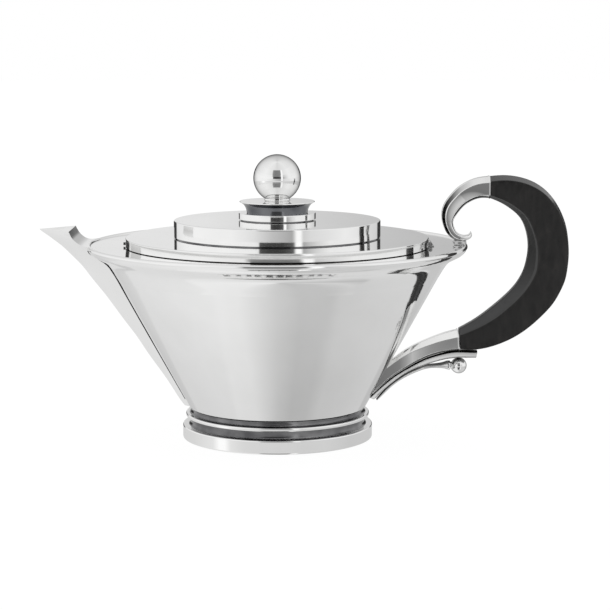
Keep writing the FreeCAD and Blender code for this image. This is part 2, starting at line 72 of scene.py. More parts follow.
def profile(items, per=6):
    """Closed outline from points and ("s", [points]) smooth runs."""
    out = []
    for it in items:
        if it[0] == "s":
            out += spline_run([out[-1]] + list(it[1]), per)
        else:
            out.append(tuple(it))
    keep = []
    for p in out:
        if not keep or math.hypot(p[0] - keep[-1][0], p[1] - keep[-1][1]) > 1e-4:
            keep.append(p)
    if math.hypot(keep[0][0] - keep[-1][0], keep[0][1] - keep[-1][1]) < 1e-4:
        keep.pop()
    return keep


def arc_pts(cx, cz, r, a0, a1, n):
    return [(cx + r * math.cos(math.radians(a0 + (a1 - a0) * k / n)), cz + r * math.sin(math.radians(a0 + (a1 - a0) * k / n)))
            for k in range(n + 1)]


def make_object(name, verts, faces, loop_normals=None):
    me = bpy.data.meshes.new(name)
    me.from_pydata([tuple(v) for v in verts], [], [tuple(int(i) for i in f) for f in faces])
    me.polygons.foreach_set("use_smooth", [True] * len(me.polygons))
    me.update()
    if loop_normals is not None:
        me.normals_split_custom_set([tuple(n) for n in loop_normals])
    ob = bpy.data.objects.new(name, me)
    bpy.context.scene.collection.objects.link(ob)
    return ob


def lathe(name, outline, nseg=288, crease=34.0, dark=None):
    """Turned piece: closed outline (r, z) in mm, anticlockwise or clockwise, with exact shading normals."""
    P = np.array(outline, float)
    n = len(P)
    area = 0.5 * np.sum(P[:, 0] * np.roll(P[:, 1], -1) - np.roll(P[:, 0], -1) * P[:, 1])
    if area < 0:
        P = P[::-1].copy()
    seg = np.roll(P, -1, 0) - P
    length = np.hypot(seg[:, 0], seg[:, 1])
    nrm = np.stack([seg[:, 1], -seg[:, 0]], 1) / length[:, None]
    # normal at the start and end of each segment
    ns, ne = nrm.copy(), nrm.copy()
    for k in range(n):
        a, b = (k - 1) % n, k
        c = max(-1.0, min(1.0, float(np.dot(nrm[a], nrm[b]))))
        if math.degrees(math.acos(c)) < crease:
            m = nrm[a] * length[a] + nrm[b] * length[b]
            m /= np.hypot(*m)
            ne[a], ns[b] = m, m
    pole = P[:, 0] < 1e-4
    th = np.arange(nseg) * 2 * math.pi / nseg
    cos, sin = np.cos(th), np.sin(th)
    verts, start = [], []
    for i in range(n):
        start.append(len(verts))
        r, z = P[i][0] * MM, (P[i][1] + LIFT) * MM
        if pole[i]:
            verts.append((0.0, 0.0, z))
        else:
            verts += [(r * cos[j], r * sin[j], z) for j in range(nseg)]
    faces, normals, which = [], [], []
    for k in range(n):
        a, b = k, (k + 1) % n
        if pole[a] and pole[b]:
            continue
        second = 1 if dark and dark((P[a] + P[b]) / 2, nrm[k]) else 0
        for j in range(nseg):
            q = (j + 1) % nseg
            A = [(start[a] + j, ns[k], j), (start[a] + q, ns[k], q), (start[b] + q, ne[k], q), (start[b] + j, ne[k], j)]
            if pole[a]:
                A = [(start[a], ns[k], j), A[2], A[3]]
            elif pole[b]:
                A = [A[0], A[1], (start[b], ne[k], j)]
            faces.append([v for v, _, _ in A])
            which.append(second)
            for _, m, jj in A:
                normals.append((m[0] * cos[jj], m[0] * sin[jj], m[1]))
    ob = make_object(name, verts, faces, normals)
    ob.data.polygons.foreach_set("material_index", which)
    return ob


def ramp(table, s):
    for (a, va), (b, vb) in zip(table, table[1:]):
        if s <= b:
            t = 0 if b == a else (s - a) / (b - a)
            return va + (vb - va) * t
    return table[-1][1]


def evenly(pts, n):
    run = [tuple(pts[0])] + spline_run(pts, 24)
    P = np.array(run)
    t = np.concatenate([[0], np.cumsum(np.hypot(*(P[1:] - P[:-1]).T))])
    s = np.linspace(0, t[-1], n)
    return np.stack([np.interp(s, t, P[:, 0]), np.interp(s, t, P[:, 1])], 1)


def wall_x(x, y, z, depth):
    """Keeps the end of a soldered bar inside the pot's wall."""
    r_wall = 36.36 + 0.5475 * max(z, 12.0) - depth
    r = math.hypot(x, y)
    if r < r_wall and x > 0:
        return math.sqrt(max(r_wall ** 2 - y * y, 1.0))
    return x


def bar(name, outer, inner, hy, b_out, b_in, y_out, y_in, n=160, fillet=0.32, clamp=False, per=4, crown=0.0, round_out=False, round_in=False, crease=0.0, regions=None):
    """A bar between two edge lines in the XZ plane: flat sides, a bevel to each edge, every edge rounded.
    regions: {o outer bevel, f face, c crease strip, i inner bevel, x outer edge, e inner edge, k corners: material index}."""
    o, i = evenly(outer, n), evenly(inner, n)
    rings = []
    for k in range(n):
        s = k / (n - 1)
        O, I = np.array([o[k][0], 0, o[k][1]]), np.array([i[k][0], 0, i[k][1]])
        d = I - O
        w = np.linalg.norm(d)
        d = d / w
        h = ramp(hy, s)
        bo, bi = min(ramp(b_out, s), 0.42 * w), min(ramp(b_in, s), 0.42 * w)
        ho, hi = h * ramp(y_out, s), h * ramp(y_in, s)
        Y = np.array([0, 1.0, 0])
        cr = crown * h / 5.5
        face = [(bo + (w - bo - bi) * t, -h - cr * (1 - (2 * t - 1) ** 2)) for t in [e / 10 for e in range(1, 10)]]
        if round_out:
            lead = [(bo * (1 - math.sin(a)), -ho - (h - ho) * math.cos(a)) for a in [math.radians(9 * e) for e in range(10, -1, -1)]]
        else:
            lead = [(0, -ho), (bo, -h)]
        if round_in:
            tail = [(w - bi * (1 - math.sin(a)), -hi - (h - hi) * math.cos(a)) for a in [math.radians(9 * e) for e in range(0, 11)]]
        else:
            tail = [(w - bi, -h), (w, -hi)]
        if crease:
            tail = [tail[0], (w - bi * (1 - crease), -h + (h - hi) * crease), tail[1]]
        half = lead + (face if cr > 0 else []) + tail
        base = half + [(a, -b) for a, b in half[::-1]]
        hard = [True] + [not round_out] * (len(lead) - 1) + [False] * (len(face) if cr > 0 else 0) + ([not round_in] * (len(tail) - 1) if not crease else [True, False]) + [True]
        hard = hard + hard[::-1]
        side = "o" * (len(lead) - 1) + "f" * ((len(face) if cr > 0 else 0) + 1) + ("c" if crease else "") + "i" * (len(tail) - (2 if crease else 1))
        runs = side + "e" + side[::-1] + "x"
        sec, tags = [], []
        m = len(base)
        for c in range(m):
            p, q, r = np.array(base[c - 1]), np.array(base[c]), np.array(base[(c + 1) % m])
            u, v = p - q, r - q
            lu, lv = np.linalg.norm(u), np.linalg.norm(v)
            f = min(fillet, 0.42 * lu, 0.42 * lv)
            a, b = q + u / lu * f, q + v / lv * f
            if not hard[c]:
                sec.append(q)
                tags.append(runs[c])
                continue
            for e in range(per + 1):
                t = e / per
                sec.append((1 - t) ** 2 * a + 2 * t * (1 - t) * q + t * t * b)
            tags += ["k"] * per + [runs[c]]
        rings.append([O + d * a + Y * b for a, b in sec])
    m = len(rings[0])
    verts = []
    for ring in rings:
        for x, y, z in ring:
            if clamp:
                x = wall_x(x, y, z, 0.75)
            verts.append((x * MM, y * MM, (z + LIFT) * MM))
    faces = []
    for k in range(n - 1):
        for j in range(m):
            q = (j + 1) % m
            faces.append([k * m + j, k * m + q, (k + 1) * m + q, (k + 1) * m + j])
    faces.append(list(range(m))[::-1])
    faces.append([(n - 1) * m + j for j in range(m)])
    ob = make_object(name, verts, faces)
    me = ob.data
    if regions:
        me.polygons.foreach_set("material_index", [regions.get(tags[j], 0) for k in range(n - 1) for j in range(m)] + [0, 0])
    tidy(me)
    ends = set()
    for p in me.polygons:
        if len(p.vertices) > 4:
            vs = list(p.vertices)
            ends |= {tuple(sorted((vs[e], vs[(e + 1) % len(vs)]))) for e in range(len(vs))}
    for e in me.edges:
        if tuple(sorted(e.vertices)) in ends:
            e.use_edge_sharp = True
    wn = ob.modifiers.new("weighted", "WEIGHTED_NORMAL")
    wn.keep_sharp = True
    wn.weight = 60
    return ob


def tidy(me):
    """Faces point outwards."""
    import bmesh
    bm = bmesh.new()
    bm.from_mesh(me)
    bmesh.ops.recalc_face_normals(bm, faces=bm.faces)
    bm.to_mesh(me)
    bm.free()
    me.polygons.foreach_set("use_smooth", [True] * len(me.polygons))
    me.update()


# ------------------------------------------------------------------ material helpers
def new_mat(name):
    m = bpy.data.materials.new(name)
    m.use_nodes = True
    nt = m.node_tree
    nt.nodes.clear()
    out = nt.nodes.new("ShaderNodeOutputMaterial")
    b = nt.nodes.new("ShaderNodeBsdfPrincipled")
    nt.links.new(b.outputs[0], out.inputs[0])
    return m, nt, b


def node(nt, kind, **kw):
    n = nt.nodes.new(kind)
    for k, v in kw.items():
        if k.startswith("i_"):
            n.inputs[int(k[2:])].default_value = v
        else:
            setattr(n, k, v)
    return n


def set_ramp(n, stops, interp="LINEAR"):
    cr = n.color_ramp
    cr.interpolation = interp
    while len(cr.elements) > 1:
        cr.elements.remove(cr.elements[-1])
    cr.elements[0].position = stops[0][0]
    c = stops[0][1]
    cr.elements[0].color = (c, c, c, 1) if not hasattr(c, "__len__") else (*c, 1)
    for p, c in stops[1:]:
        e = cr.elements.new(p)
        e.color = (c, c, c, 1) if not hasattr(c, "__len__") else (*c, 1)


def lin(v):
    v = v / 255.0
    return v / 12.92 if v <= 0.04045 else ((v + 0.055) / 1.055) ** 2.4


def silver(name, lo, hi, rough, bump=0.012, zgrad=None, scale=38.0, tone=None):
    """Polished silver: slight tone drift, uneven polish, hairline marks. lo, hi: colours; rough: (least, most).
    tone: (what, [(millimetres, factor)]): painted shade and highlight along x, or by distance from a point (cx, cz).
    zgrad: (z0, z1, v0, v1), painted shade, darker towards the bottom."""
    m, nt, b = new_mat(name)
    L = nt.links.new
    tc = node(nt, "ShaderNodeTexCoord")
    n1 = node(nt, "ShaderNodeTexNoise")
    n1.inputs["Scale"].default_value = scale
    n1.inputs["Detail"].default_value = 3.0
    L(tc.outputs["Object"], n1.inputs["Vector"])
    cr = node(nt, "ShaderNodeValToRGB")
    set_ramp(cr, [(0.32, lo), (0.68, hi)])
    L(n1.outputs[0], cr.inputs[0])
    colour = cr.outputs[0]
    # painted shade: colour scaled by height
    if zgrad:
        z0, z1, v0, v1 = zgrad
        sep = node(nt, "ShaderNodeSeparateXYZ")
        L(tc.outputs["Object"], sep.inputs[0])
        mr = node(nt, "ShaderNodeMapRange", interpolation_type="SMOOTHSTEP")
        for i, v in enumerate((z0, z1, v0, v1)):
            mr.inputs[i + 1].default_value = v
        L(sep.outputs[2], mr.inputs[0])
        mul = node(nt, "ShaderNodeVectorMath", operation="SCALE")
        L(cr.outputs[0], mul.inputs[0])
        L(mr.outputs[0], mul.inputs["Scale"])
        colour = mul.outputs[0]
    # painted shade and highlight: colour scaled along x or by distance from a point
    if tone:
        what, stops = tone
        sub = node(nt, "ShaderNodeVectorMath", operation="SUBTRACT")
        L(tc.outputs["Object"], sub.inputs[0])
        if what == "x":
            spx = node(nt, "ShaderNodeSeparateXYZ")
            L(sub.outputs[0], spx.inputs[0])
            place = spx.outputs[0]
        else:
            sub.inputs[1].default_value = (what[0] * MM, 0.0, (what[1] + LIFT) * MM)
            flat = node(nt, "ShaderNodeVectorMath", operation="MULTIPLY")
            flat.inputs[1].default_value = (1.0, 0.0, 1.0)
            L(sub.outputs[0], flat.inputs[0])
            ln = node(nt, "ShaderNodeVectorMath", operation="LENGTH")
            L(flat.outputs[0], ln.inputs[0])
            place = ln.outputs["Value"]
        lo_, hi_ = stops[0][0], stops[-1][0]
        mrt = node(nt, "ShaderNodeMapRange")
        for i, v in enumerate((lo_ * MM, hi_ * MM, 0.0, 1.0)):
            mrt.inputs[i + 1].default_value = v
        L(place, mrt.inputs[0])
        crt = node(nt, "ShaderNodeValToRGB")
        set_ramp(crt, [((q_ - lo_) / (hi_ - lo_), v) for q_, v in stops])
        L(mrt.outputs[0], crt.inputs[0])
        mult = node(nt, "ShaderNodeVectorMath", operation="MULTIPLY")
        L(colour, mult.inputs[0])
        L(crt.outputs[0], mult.inputs[1])
        colour = mult.outputs[0]
    L(colour, b.inputs["Base Color"])
    b.inputs["Metallic"].default_value = 1.0
    n2 = node(nt, "ShaderNodeTexNoise")
    n2.inputs["Scale"].default_value = 120.0
    n2.inputs["Detail"].default_value = 5.0
    L(tc.outputs["Object"], n2.inputs["Vector"])
    rr = node(nt, "ShaderNodeMapRange")
    for i, v in enumerate((0.3, 0.7, rough[0], rough[1])):
        rr.inputs[i + 1].default_value = v
    L(n2.outputs[0], rr.inputs[0])
    L(rr.outputs[0], b.inputs["Roughness"])
    # hairline polishing marks: noise drawn out along one direction
    mp = node(nt, "ShaderNodeMapping")
    mp.inputs["Scale"].default_value = (160.0, 160.0, 2600.0)
    mp.inputs["Rotation"].default_value = (0.25, 0.15, 0.0)
    L(tc.outputs["Object"], mp.inputs["Vector"])
    n3 = node(nt, "ShaderNodeTexNoise")
    n3.inputs["Scale"].default_value = 1.0
    n3.inputs["Detail"].default_value = 2.0
    L(mp.outputs[0], n3.inputs["Vector"])
    bp = node(nt, "ShaderNodeBump")
    bp.inputs["Strength"].default_value = bump
    bp.inputs["Distance"].default_value = 0.0001
    L(n3.outputs[0], bp.inputs["Height"])
    L(bp.outputs[0], b.inputs["Normal"])
    return m


SILVER = silver("silver_polished", (0.925, 0.925, 0.92), (0.965, 0.965, 0.962), (0.035, 0.075))
# the body's colour falls to 0.87 below 18 mm and is full above 88 mm: painted shade, darker towards the bottom
SILVER_BODY = silver("silver_body", (0.925, 0.925, 0.92), (0.965, 0.965, 0.962), (0.045, 0.09), zgrad=(0.018, 0.088, 0.87, 1.0))
# dark silver for the foot's recess, the groove under the body, the foot of the lid's upper step and the undercut under
# the knob collar: painted shade
SILVER_DARK = silver("silver_painted_shade", (0.085, 0.085, 0.09), (0.27, 0.27, 0.275), (0.09, 0.20), bump=0.05, scale=60.0)
# black silver for the tube along the spout's seam: painted shade
SILVER_BLACK = silver("silver_painted_seam_shade", (0.012, 0.012, 0.013), (0.03, 0.03, 0.031), (0.12, 0.25), bump=0.03, scale=60.0)
SILVER_SATIN = silver("silver_satin", (0.52, 0.52, 0.525), (0.66, 0.66, 0.66), (0.22, 0.30), bump=0.03, scale=60.0)
PLAIN = ((0.925, 0.925, 0.92), (0.965, 0.965, 0.962))
# scroll face: light near the curl's centre, dark further out, a painted highlight and shade
SCROLL_FACE = silver("silver_scroll_face", *PLAIN, (0.04, 0.08), tone=((97.0, 109.5), [(8.0, 0.98), (9.8, 0.90), (11.4, 0.66), (12.2, 0.50), (12.7, 0.34), (15.0, 0.36), (20.0, 0.38)]))
# scroll's outer bevel and edge: near black on the curl's outer side, full towards the grip, painted shade
SCROLL_EDGE = silver("silver_scroll_edge", *PLAIN, (0.05, 0.10), tone=("x", [(80.0, 0.012), (83.6, 0.02), (86.5, 0.16), (91.0, 0.62), (97.0, 0.9), (110.0, 0.95)]))
# arm face: a bright band near x 67 mm between darker stretches, painted highlight and shade
ARM_FACE = silver("silver_arm_face", *PLAIN, (0.05, 0.09), tone=("x", [(50.0, 0.30), (58.0, 0.36), (61.0, 0.40), (64.5, 0.64), (67.5, 0.95), (71.0, 0.74), (76.0, 0.55), (82.0, 0.46), (86.0, 0.42), (92.0, 0.42)]))
# leaf's bevels and edge: darkest mid-length, lighter at both ends, painted shade
LEAF_EDGE = silver("silver_leaf_edge", *PLAIN, (0.05, 0.12), tone=("x", [(50.0, 0.34), (66.0, 0.20), (80.0, 0.13), (95.0, 0.22), (100.0, 0.5)]))
# darker silver for the concave underside of the knob's flare
SILVER_FLARE = silver("silver_flare_dark", (0.115, 0.12, 0.132), (0.21, 0.215, 0.228), (0.06, 0.12), bump=0.02, scale=90.0)
SILVER_BALL = silver("silver_ball", (0.925, 0.925, 0.92), (0.965, 0.965, 0.962), (0.03, 0.06))
for n_ in SILVER_BALL.node_tree.nodes:
    if n_.type == "BSDF_PRINCIPLED":
        n_.inputs["Specular Tint"].default_value = (0.16, 0.16, 0.16, 1.0)      # edge tint far below silver's own darkens the ball towards its rim: a painted dark reflection
SILVER_INSIDE = silver("silver_satin_inside", (0.70, 0.70, 0.69), (0.84, 0.84, 0.83), (0.26, 0.38), bump=0.08, scale=30.0)

EBONY, nt, b = new_mat("ebony_wood")
L = nt.links.new
tc = node(nt, "ShaderNodeTexCoord")
mp = node(nt, "ShaderNodeMapping")
mp.inputs["Scale"].default_value = (420.0, 1500.0, 130.0)
mp.inputs["Rotation"].default_value = (0.0, 0.35, 0.0)
L(tc.outputs["Object"], mp.inputs["Vector"])
n1 = node(nt, "ShaderNodeTexNoise")
n1.inputs["Scale"].default_value = 1.0
n1.inputs["Detail"].default_value = 6.0
n1.inputs["Distortion"].default_value = 0.4
L(mp.outputs[0], n1.inputs["Vector"])
cr = node(nt, "ShaderNodeValToRGB")
set_ramp(cr, [(0.28, (0.0030, 0.0028, 0.0028)), (0.6, (0.0085, 0.0078, 0.0075)), (0.8, (0.016, 0.0135, 0.012))])
L(n1.outputs[0], cr.inputs[0])
L(cr.outputs[0], b.inputs["Base Color"])
rr = node(nt, "ShaderNodeMapRange")
for i, v in enumerate((0.3, 0.75, 0.34, 0.46)):
    rr.inputs[i + 1].default_value = v
L(n1.outputs[0], rr.inputs[0])
L(rr.outputs[0], b.inputs["Roughness"])
bp = node(nt, "ShaderNodeBump")
bp.inputs["Strength"].default_value = 0.10
bp.inputs["Distance"].default_value = 0.0001
L(n1.outputs[0], bp.inputs["Height"])
L(bp.outputs[0], b.inputs["Normal"])


# grip's outer bevel: lighter, glossier ebony, a painted sheen along the edge
EBONY_EDGE, nt, b = new_mat("ebony_edge_painted_sheen")
b.inputs["Base Color"].default_value = (0.036, 0.036, 0.036, 1.0)
b.inputs["Roughness"].default_value = 0.18
b.inputs["Specular IOR Level"].default_value = 1.0
# grip's inner bevel: lighter towards the bottom, darker towards the top, a painted sheen
EBONY_INNER, nt, b = new_mat("ebony_inner_painted_sheen")
tc = node(nt, "ShaderNodeTexCoord")
sp_ = node(nt, "ShaderNodeSeparateXYZ")
L = nt.links.new
L(tc.outputs["Object"], sp_.inputs[0])
mz = node(nt, "ShaderNodeMapRange", interpolation_type="SMOOTHSTEP")
for i, v in enumerate((0.062, 0.094, 0.0, 1.0)):
    mz.inputs[i + 1].default_value = v
L(sp_.outputs[2], mz.inputs[0])
crz = node(nt, "ShaderNodeValToRGB")
set_ramp(crz, [(0.0, (0.050, 0.050, 0.051)), (1.0, (0.010, 0.010, 0.010))])
L(mz.outputs[0], crz.inputs[0])
L(crz.outputs[0], b.inputs["Base Color"])
b.inputs["Roughness"].default_value = 0.30
# lighter strip along the grip's inner crease: painted highlight
EBONY_CREASE, nt, b = new_mat("ebony_crease_painted_highlight")
b.inputs["Base Color"].default_value = (0.044, 0.044, 0.044, 1.0)
b.inputs["Roughness"].default_value = 0.30


def finish_piece(ob, body, nodes, mat, slot, *more):
    keep = [p.material_index for p in ob.data.polygons]
    ob.data.materials.clear()
    ob.data.materials.append(mat)
    if more:
        for extra in more:
            ob.data.materials.append(extra)
        ob.data.polygons.foreach_set("material_index", keep)
    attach(ob, body)
    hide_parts(*nodes)
    return ob


# ------------------------------------------------------------------ turned pieces
FOOT_R, FOOT_IN_R, FOOT_Z0, FOOT_TOP, NECK_R, NECK_TOP = 47.5, 41.5, -LIFT, 5.5, 43.6, 9.7
COLLAR_R, COLLAR_TOP, GROOVE_R, BODY_Z0 = 45.9, 11.4, 43.0, 14.7
finish_piece(lathe("foot_band_ring", profile([
    (FOOT_IN_R, FOOT_Z0), (FOOT_R - 0.5, FOOT_Z0), ("s", [(FOOT_R - 0.13, FOOT_Z0 + 0.2), (FOOT_R, FOOT_Z0 + 0.65)]), (FOOT_R, FOOT_TOP - 0.6),
    ("s", [(FOOT_R - 0.16, FOOT_TOP - 0.15), (FOOT_R - 0.6, FOOT_TOP)]), (FOOT_IN_R, FOOT_TOP)])),
    "pot", ["foot_band"], SILVER, "silver")
# the foot's recess between band and collar is dark silver: painted shade
finish_piece(lathe("foot_recess_ring", profile([
    (FOOT_IN_R - 0.5, FOOT_TOP), (NECK_R + 0.9, FOOT_TOP), ("s", [(NECK_R + 0.2, FOOT_TOP + 0.7), (NECK_R, FOOT_TOP + 1.7), (NECK_R, NECK_TOP)]),
    (FOOT_IN_R - 0.5, NECK_TOP)])), "pot", ["foot_neck"], SILVER_DARK, "silver_dark")
finish_piece(lathe("foot_collar_ring", profile([
    (FOOT_IN_R - 0.5, NECK_TOP), (COLLAR_R - 0.4, NECK_TOP), ("s", [(COLLAR_R - 0.1, NECK_TOP + 0.12), (COLLAR_R, NECK_TOP + 0.45)]),
    (COLLAR_R, COLLAR_TOP - 0.5), ("s", [(COLLAR_R - 0.2, COLLAR_TOP - 0.12), (COLLAR_R - 0.6, COLLAR_TOP)]),
    (FOOT_IN_R - 0.5, COLLAR_TOP)])), "pot", ["foot_collar"], SILVER, "silver")
# the groove between the collar and the body is dark silver: painted shade
finish_piece(lathe("foot_groove_ring", profile([
    (FOOT_IN_R - 0.5, COLLAR_TOP), (GROOVE_R + 1.2, COLLAR_TOP),
    ("s", [(GROOVE_R + 0.3, COLLAR_TOP + 0.6), (GROOVE_R, COLLAR_TOP + 1.5), (GROOVE_R + 0.2, COLLAR_TOP + 2.5), (GROOVE_R + 0.9, BODY_Z0)]),
    (FOOT_IN_R - 0.5, BODY_Z0)])), "pot", ["foot_groove"], SILVER_DARK, "silver_dark")
finish_piece(lathe("rim_ring", profile([
    (92.3, 94.2), (94.0, 94.2), ("s", [(94.35, 94.6), (94.4, 95.15), (94.15, 95.85), (93.5, 96.2), (92.85, 96.1), (92.5, 95.7)]),
    (92.3, 95.4)]), 384), "pot", ["rim_wire"], SILVER, "silver")
# the lid's upper step is dark silver at its foot, where it meets the flange: painted shade
finish_piece(lathe("lid_upper_step", profile([
    (50.1, 99.3), (50.7, 99.3), (50.7, 99.75), (51.3, 99.85), (51.3, 107.2), ("s", [(51.13, 107.64), (50.7, 107.8)]), (2.0, 107.8), (2.0, 106.7), (50.1, 106.7)]), 384, dark=lambda p, n: p[1] < 99.86 and p[0] > 50.6),
    "lid", ["lid_dome_step"], SILVER, "silver", SILVER_DARK)
# the undercut at the knob collar's base is dark silver: painted shade
finish_piece(lathe("knob_base_ring", profile([
    (2.0, 107.8), (17.95, 107.8), (17.95, 108.2), (18.95, 108.25), ("s", [(19.1, 108.3), (19.15, 108.45)]), (19.15, 111.0),
    ("s", [(19.03, 111.3), (18.7, 111.4)]), (2.0, 111.4)]), 192, dark=lambda p, n: p[1] < 108.26 and p[0] > 17.5),
    "lid", ["knob_collar"], SILVER, "silver", SILVER_DARK)
NECK_Z = 128.4 - math.sqrt(11.8 ** 2 - 6.2 ** 2)
# the flare's concave underside takes the darker silver
finish_piece(lathe("knob_flare_disc", profile([
    (2.0, 111.4), (15.1, 111.4), ("s", [(15.35, 112.6), (15.85, 114.0), (16.75, 115.35), (17.9, 116.25), (18.55, 116.6)]),
    ("s", [(18.7, 116.85), (18.55, 117.1)]), (7.1, 117.25), ("s", [(6.35, 117.7), (6.2, NECK_Z)]), (2.0, NECK_Z)], 8), 192, dark=lambda p, n: 111.45 < p[1] < 116.55 and n[1] < 0.05),
    "lid", ["knob_flare"], SILVER, "silver", SILVER_FLARE)
A0 = -math.degrees(math.asin((128.4 - NECK_Z) / 11.8))
finish_piece(lathe("knob_ball_polished", [(2.0, NECK_Z)] + arc_pts(0, 128.4, 11.8, A0, 90, 64)[:-1] + [(0.0, 140.2), (0.0, 126.0), (2.0, 126.0)], 192),
             "lid", ["knob_ball"], SILVER_BALL, "silver")

# ------------------------------------------------------------------ handle
SCROLL_OUT = [(104.6, 129.35), (98.9, 128.5), (93.2, 126.2), (89.4, 123.65), (86.15, 120.3), (83.2, 116.3), (81.7, 112.3),
              (81.6, 108.3), (82.6, 104.3), (84.6, 100.5), (87.6, 97.9), (91.3, 96.9), (94.6, 97.6), (96.6, 99.2), (96.75, 100.9)]
SCROLL_IN = [(104.6, 118.7), (100.0, 118.6), (95.6, 116.9), (92.3, 114.5), (89.75, 111.5), (88.0, 108.7), (87.35, 106.9),
             (87.6, 105.0), (88.2, 103.4), (89.1, 101.9), (90.3, 100.8), (92.0, 100.1), (93.9, 100.1), (95.3, 100.8), (96.1, 102.1)]
finish_piece(bar("handle_scroll_bar", SCROLL_OUT, SCROLL_IN, [(0, 5.3), (0.3, 4.7), (0.6, 3.6), (0.85, 2.7), (1, 1.4)],
                 [(0, 2.9), (0.5, 2.1), (0.8, 1.4), (1, 0.3)], [(0, 1.6), (0.5, 1.4), (1, 0.3)],
                 [(0, 0.45), (1, 0.45)], [(0, 0.72), (1, 0.6)], n=200, fillet=0.3, regions={"f": 1, "o": 2, "x": 2}),
             "pot", ["handle_scroll"], SILVER, "silver", SCROLL_FACE, SCROLL_EDGE)
GRIP_OUT = [(105.2, 129.4), (112.2, 129.85), (120.2, 128.9), (128.2, 125.9), (134.15, 121.4), (138.35, 116.1), (141.5, 110.2),
            (143.5, 104.3), (144.55, 98.3), (145.0, 91.3), (144.5, 84.3), (143.45, 78.4), (141.1, 72.5), (137.8, 66.6),
            (132.8, 60.7), (126.4, 54.7), (117.6, 48.6), (107.9, 44.45), (99.4, 42.6), (91.45, 42.7)]
GRIP_IN = [(105.2, 118.7), (111.0, 116.2), (116.9, 112.3), (120.9, 108.3), (123.6, 102.3), (124.8, 94.3), (124.2, 88.3),
           (122.6, 82.3), (119.3, 76.2), (113.8, 70.0), (106.7, 63.8), (98.2, 57.5), (90.65, 53.2)]
finish_piece(bar("handle_grip_ebony", GRIP_OUT, GRIP_IN, [(0, 5.4), (0.25, 6.7), (0.5, 7.2), (0.75, 6.7), (1, 5.4)],
                 [(0, 2.4), (0.16, 2.1), (0.3, 1.3), (0.42, 0.8), (1, 0.7)], [(0, 1.6), (0.3, 3.4), (0.5, 5.8), (0.8, 5.2), (1, 3.2)],
                 [(0, 0.12), (1, 0.12)], [(0, 0.55), (0.5, 0.3), (1, 0.45)], n=220, fillet=0.35, crown=0.25, crease=0.24,
                 regions={"o": 1, "i": 2, "c": 3}),
             "pot", ["grip"], EBONY, "ebony", EBONY_EDGE, EBONY_INNER, EBONY_CREASE)
ARM_OUT = [(90.2, 42.65), (82.7, 41.5), (73.1, 38.4), (65.8, 34.5), (58.8, 30.1), (51.5, 24.0), (47.0, 20.0)]
ARM_IN = [(89.6, 52.6), (84.1, 51.2), (77.1, 48.7), (69.1, 45.2), (63.0, 41.7), (57.4, 37.5), (52.0, 33.2)]
finish_piece(bar("handle_arm_bar", ARM_OUT, ARM_IN, [(0, 5.2), (0.5, 4.4), (1, 3.6)],
                 [(0, 1.2), (1, 1.0)], [(0, 3.4), (1, 2.6)], [(0, 0.75), (1, 0.75)], [(0, 0.4), (1, 0.4)], n=140, clamp=True, fillet=0.3, regions={"f": 1}),
             "pot", ["lower_arm"], SILVER, "silver", ARM_FACE)
LEAF_TOP = [(99.9, 42.3), (95.5, 42.35), (91.1, 42.45), (82.9, 41.3), (73.1, 38.1), (65.8, 34.2), (58.8, 29.8), (51.5, 23.7), (46.0, 18.5)]
LEAF_BOT = [(99.2, 38.7), (95.0, 38.75), (91.1, 38.75), (84.7, 38.1), (77.3, 36.2), (71.0, 34.0), (65.6, 31.6), (60.0, 27.9), (54.4, 23.3), (48.5, 17.5)]
finish_piece(bar("handle_leaf_bar", LEAF_TOP, LEAF_BOT, [(0, 5.2), (0.5, 4.6), (1, 3.8)],
                 [(0, 0.9), (1, 0.6)], [(0, 0.8), (1, 0.5)], [(0, 0.6), (1, 0.6)], [(0, 0.75), (1, 0.75)], n=120, fillet=0.22, clamp=True, regions={"o": 1, "i": 1, "e": 1}),
             "pot", ["lower_leaf"], SILVER, "silver", LEAF_EDGE)
STEM_TOP = [(85.2, 36.9), (83.0, 36.15), (80.4, 35.6), (77.3, 35.25), (73.5, 34.6), (69.5, 33.0), (65.6, 31.3), (60.0, 27.6), (54.4, 23.0), (49.5, 17.3)]
STEM_BOT = [(85.4, 32.3), (83.3, 32.8), (80.5, 33.0), (77.6, 33.0), (73.6, 32.3), (69.6, 30.85), (65.6, 29.05), (61.6, 26.75), (57.6, 23.8), (53.6, 20.0), (50.2, 16.7)]
finish_piece(bar("handle_stem_bar", STEM_TOP, STEM_BOT, [(0, 2.3), (0.15, 1.5), (0.3, 1.3), (0.5, 1.8), (1, 2.4)],
                 [(0, 1.3), (0.3, 0.7), (1, 0.8)], [(0, 1.3), (0.3, 0.7), (1, 0.8)], [(0, 0.45), (1, 0.5)], [(0, 0.45), (1, 0.5)],
                 n=120, fillet=0.3, clamp=True, regions={"i": 1}), "pot", ["drop_stem"], SILVER, "silver", SILVER_SATIN)

# rounded pad between the scroll and the rim
pad_v, pad_f, NU, NV = [], [], 48, 24
for iv in range(NV + 1):
    lat = math.pi * (iv / NV - 0.5)
    cz, rr_ = math.copysign(abs(math.sin(lat)) ** 0.7, math.sin(lat)), abs(math.cos(lat)) ** 0.7
    for iu in range(NU):
        a = 2 * math.pi * iu / NU
        cx, cy = math.copysign(abs(math.cos(a)) ** 0.8, math.cos(a)), math.copysign(abs(math.sin(a)) ** 0.8, math.sin(a))
        pad_v.append(((90.7 + 3.4 * rr_ * cx) * MM, 3.3 * rr_ * cy * MM, (96.35 + 1.45 * cz + LIFT) * MM))
for iv in range(NV):
    for iu in range(NU):
        q = (iu + 1) % NU
        pad_f.append([iv * NU + iu, iv * NU + q, (iv + 1) * NU + q, (iv + 1) * NU + iu])
pad = make_object("scroll_foot_pad", pad_v, pad_f)
import bmesh
bm_ = bmesh.new()
bm_.from_mesh(pad.data)
bmesh.ops.remove_doubles(bm_, verts=bm_.verts, dist=1e-6)
